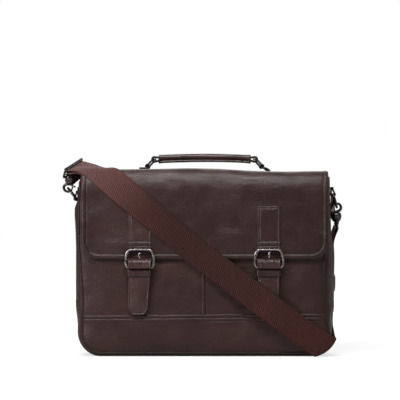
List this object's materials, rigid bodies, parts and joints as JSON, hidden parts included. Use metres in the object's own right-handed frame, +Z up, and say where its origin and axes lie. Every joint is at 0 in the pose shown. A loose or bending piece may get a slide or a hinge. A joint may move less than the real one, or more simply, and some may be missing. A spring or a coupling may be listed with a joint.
{
  "type": "satchel bag",
  "caption": "Structured leather satchel with a full front flap, buckled closure straps, a ring-mounted top handle and a webbing shoulder strap draped across the front.",
  "frame": {"origin": "middle of the flat base on which the bag stands", "axes": "+Z up, the front with the flap faces -Y, +X to the right seen from the front"},
  "size_m": [0.4295, 0.115, 0.3086],
  "materials": {
    "panel_leather": "smooth pebbled, satin",
    "trim_leather": "smooth, satin, stitched edges",
    "lining_textile": "plain woven lining",
    "webbing": "ribbed webbing with a slight sheen",
    "gunmetal": "dark gunmetal plating, polished",
    "stiffener_board": "fibreboard",
    "cord": "twisted filler cord"
  },
  "bodies": {
    "bag": {"front_panel_left": "panel_leather", "front_panel_right": "panel_leather", "front_base_band": "panel_leather", "back_panel": "panel_leather", "back_base_band": "panel_leather", "gusset_left": "panel_leather", "gusset_right": "panel_leather", "base_gusset": "panel_leather", "flap_back_band": "trim_leather", "piping_front": "trim_leather", "piping_back": "trim_leather", "base_board": "stiffener_board", "lining": "lining_textile", "divider": "lining_textile", "slip_pocket": "lining_textile", "magnet_plate_left": "gunmetal", "magnet_plate_right": "gunmetal", "dring_tab_left": "trim_leather", "dring_tab_right": "trim_leather", "hook_eye_left": "gunmetal", "hook_eye_right": "gunmetal", "shoulder_strap": "webbing"},
    "flap": {"flap_leather": "panel_leather", "flap_lining": "lining_textile", "closure_strap_left": "trim_leather", "closure_strap_right": "trim_leather", "buckle_frame_left": "gunmetal", "buckle_frame_right": "gunmetal", "handle_tab_left": "trim_leather", "handle_tab_right": "trim_leather"},
    "handle": {"handle_grip": "trim_leather", "handle_core": "cord", "handle_loop_left": "trim_leather", "handle_loop_right": "trim_leather"},
    "adjuster": {"strap_adjuster": "gunmetal"},
    "handle_ring_left": {"handle_ring_left": "gunmetal"},
    "handle_ring_right": {"handle_ring_right": "gunmetal"},
    "tail_left": {"tail_left": "trim_leather", "magnet_left": "gunmetal"},
    "keeper_left": {"keeper_left": "trim_leather"},
    "prong_left": {"prong_left": "gunmetal"},
    "dring_left": {"dring_left": "gunmetal"},
    "hook_left": {"hook_left": "gunmetal"},
    "hook_gate_left": {"hook_gate_left": "gunmetal"},
    "tail_right": {"tail_right": "trim_leather", "magnet_right": "gunmetal"},
    "keeper_right": {"keeper_right": "trim_leather"},
    "prong_right": {"prong_right": "gunmetal"},
    "dring_right": {"dring_right": "gunmetal"},
    "hook_right": {"hook_right": "gunmetal"},
    "hook_gate_right": {"hook_gate_right": "gunmetal"}
  },
  "joints": [
    {"name": "flap_open", "type": "hinge", "parent": "bag", "child": "flap", "pos_m": [0, 0.0455, 0.2825], "axis": [-1, 0, 0], "range_deg": [0, 105], "deforming": ["shoulder_strap"]},
    {"name": "handle_drop", "type": "slide", "parent": "flap", "child": "handle", "axis": [0, 0, -1], "range_m": [0, 0.006]},
    {"name": "handle_ring_left_fold", "type": "hinge", "parent": "flap", "child": "handle_ring_left", "pos_m": [-0.088, 0, 0.2905], "axis": [0, 1, 0], "range_deg": [0, 28]},
    {"name": "handle_ring_right_fold", "type": "hinge", "parent": "flap", "child": "handle_ring_right", "pos_m": [0.088, 0, 0.2905], "axis": [0, -1, 0], "range_deg": [0, 28]},
    {"name": "tail_left_lift", "type": "hinge", "parent": "flap", "child": "tail_left", "pos_m": [-0.097, -0.0576, 0.1295], "axis": [-1, 0, 0], "range_deg": [0, 35]},
    {"name": "keeper_left_slide", "type": "slide", "parent": "tail_left", "child": "keeper_left", "axis": [0, 0.0231, -0.9997], "range_m": [0, 0.008]},
    {"name": "prong_left_lift", "type": "hinge", "parent": "flap", "child": "prong_left", "pos_m": [-0.097, -0.0606, 0.148], "axis": [1, 0, 0], "range_deg": [0, 30]},
    {"name": "dring_left_swing", "type": "hinge", "parent": "bag", "child": "dring_left", "pos_m": [-0.1985, 0, 0.241], "axis": [0, 1, 0], "range_deg": [-5, 5]},
    {"name": "hook_left_swivel", "type": "hinge", "parent": "bag", "child": "hook_left", "pos_m": [-0.20663, -0.00628, 0.26953], "axis": [0.1892, -0.3922, 0.9002], "range_deg": [-20, 20]},
    {"name": "hook_gate_left_open", "type": "hinge", "parent": "hook_left", "child": "hook_gate_left", "pos_m": [-0.20448, -0.00384, 0.26325], "axis": [0.0807, 0.9199, 0.3838], "range_deg": [0, 14], "stiffness_Nm_per_rad": 0.01},
    {"name": "tail_right_lift", "type": "hinge", "parent": "flap", "child": "tail_right", "pos_m": [0.097, -0.0576, 0.1295], "axis": [-1, 0, 0], "range_deg": [0, 5]},
    {"name": "keeper_right_slide", "type": "slide", "parent": "tail_right", "child": "keeper_right", "axis": [0, 0.0231, -0.9997], "range_m": [0, 0.003]},
    {"name": "prong_right_lift", "type": "hinge", "parent": "flap", "child": "prong_right", "pos_m": [0.097, -0.0606, 0.148], "axis": [1, 0, 0], "range_deg": [0, 30]},
    {"name": "dring_right_swing", "type": "hinge", "parent": "bag", "child": "dring_right", "pos_m": [0.1985, 0, 0.247], "axis": [0, 1, 0], "range_deg": [-5, 3]},
    {"name": "hook_right_swivel", "type": "hinge", "parent": "bag", "child": "hook_right", "pos_m": [0.20253, 0.00357, 0.21416], "axis": [-0.063, 0.2232, -0.9727], "range_deg": [-20, 20]},
    {"name": "hook_gate_right_open", "type": "hinge", "parent": "hook_right", "child": "hook_gate_right", "pos_m": [0.19953, 0.00219, 0.22041], "axis": [0.0144, 0.9748, 0.2228], "range_deg": [0, 14], "stiffness_Nm_per_rad": 0.01},
    {"name": "adjuster_slide", "type": "slide", "parent": "bag", "child": "adjuster", "axis": [0, 0, 1], "range_m": [-0.01, 0.01]}
  ],
  "couplings": [
    {"joint": "handle_ring_left_fold", "follows": "handle_drop", "rad_per_m": 78.8},
    {"joint": "handle_ring_right_fold", "follows": "handle_drop", "rad_per_m": 78.8}
  ]
}
